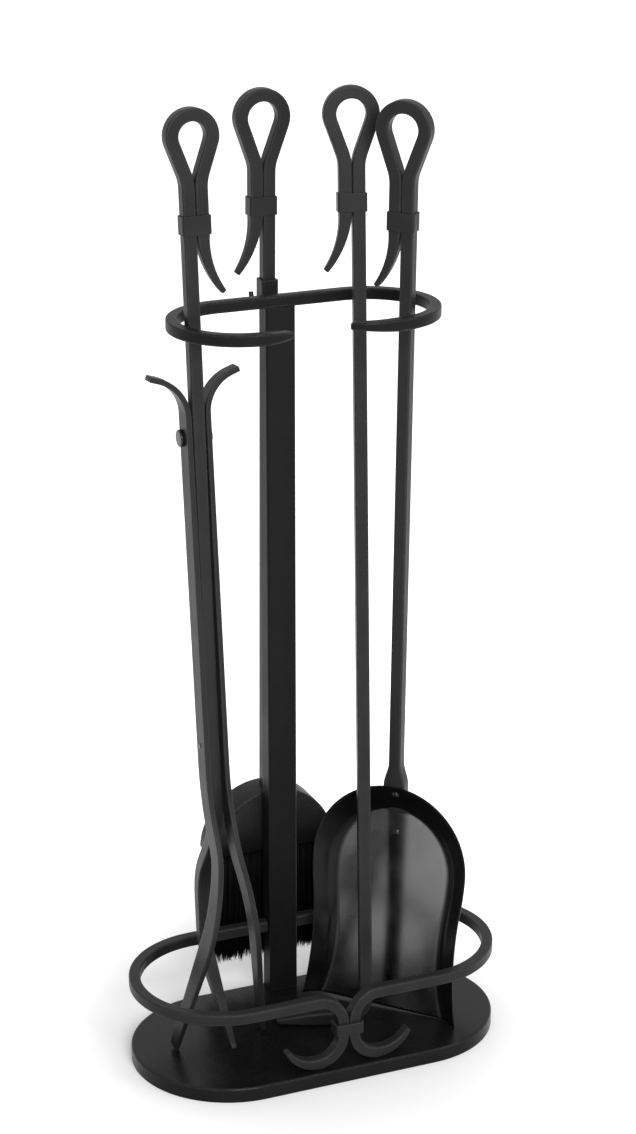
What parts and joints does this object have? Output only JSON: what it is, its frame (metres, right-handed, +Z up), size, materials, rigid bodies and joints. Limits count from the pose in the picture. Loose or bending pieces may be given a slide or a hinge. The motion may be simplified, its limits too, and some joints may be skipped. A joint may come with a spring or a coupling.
{
  "type": "fireplace tool set",
  "caption": "Free-standing black steel fireplace tool set: poker, shovel, brush and tongs with forged loop handles, held by an open oval rail and a lower ring on an oval base.",
  "frame": {"origin": "centre of the underside of the base plate, on the floor", "axes": "+Z up, +Y to the back where the post stands, +X to the right seen from the front"},
  "size_m": [0.3198, 0.1992, 0.799],
  "materials": {
    "stand_black": "satin black powder coat on steel",
    "tool_black": "satin black powder coat on forged bar",
    "pan_black": "smooth satin black coat on pressed sheet",
    "rivet_black": "black coated rivet and pin heads",
    "head_black": "wood block painted satin black",
    "bristle_black": "black bristle, matte with a soft sheen",
    "bare_steel": "plain zinc-grey steel, hidden"
  },
  "bodies": {
    "stand": {"base_plate": "stand_black", "post": "stand_black", "post_cap": "stand_black", "top_rail": "stand_black", "lower_ring_left": "stand_black", "lower_ring_right": "stand_black", "ring_tie_collar": "stand_black", "brush_fork": "stand_black", "post_foot_plug": "bare_steel", "base_screws": "bare_steel"},
    "tongs": {"tongs_shaft": "tool_black", "tongs_handle_collar": "tool_black", "tongs_pivot_pin": "rivet_black"},
    "tongs_straps": {"tongs_strap_left": "tool_black", "tongs_strap_right": "tool_black", "tongs_tie_rivet": "rivet_black"},
    "brush": {"brush_shaft": "tool_black", "brush_handle_collar": "tool_black", "brush_hanger_collar": "tool_black", "brush_head": "head_black", "brush_head_pin": "rivet_black", "brush_bristles": "bristle_black"},
    "poker": {"poker_shaft": "tool_black", "poker_handle_collar": "tool_black"},
    "shovel": {"shovel_shaft": "tool_black", "shovel_handle_collar": "tool_black", "shovel_pan": "pan_black", "shovel_rivets": "rivet_black"}
  },
  "joints": [
    {"name": "tongs_lift", "type": "slide", "parent": "stand", "child": "tongs", "axis": [0, 0, 1], "range_m": [0, 0.018]},
    {"name": "tongs_open", "type": "hinge", "parent": "tongs", "child": "tongs_straps", "pos_m": [-0.08921, -0.00103, 0.28507], "axis": [-0.9999, -0.0007, -0.0167], "range_deg": [0, 8]},
    {"name": "brush_lift", "type": "slide", "parent": "stand", "child": "brush", "axis": [0.0078, 0, 1], "range_m": [0, 0.4]},
    {"name": "poker_lift", "type": "slide", "parent": "stand", "child": "poker", "axis": [0, 0, 1], "range_m": [0, 0.65]},
    {"name": "shovel_lift", "type": "slide", "parent": "stand", "child": "shovel", "axis": [0.0299, 0.0499, 0.9983], "range_m": [0, 0.3]}
  ]
}
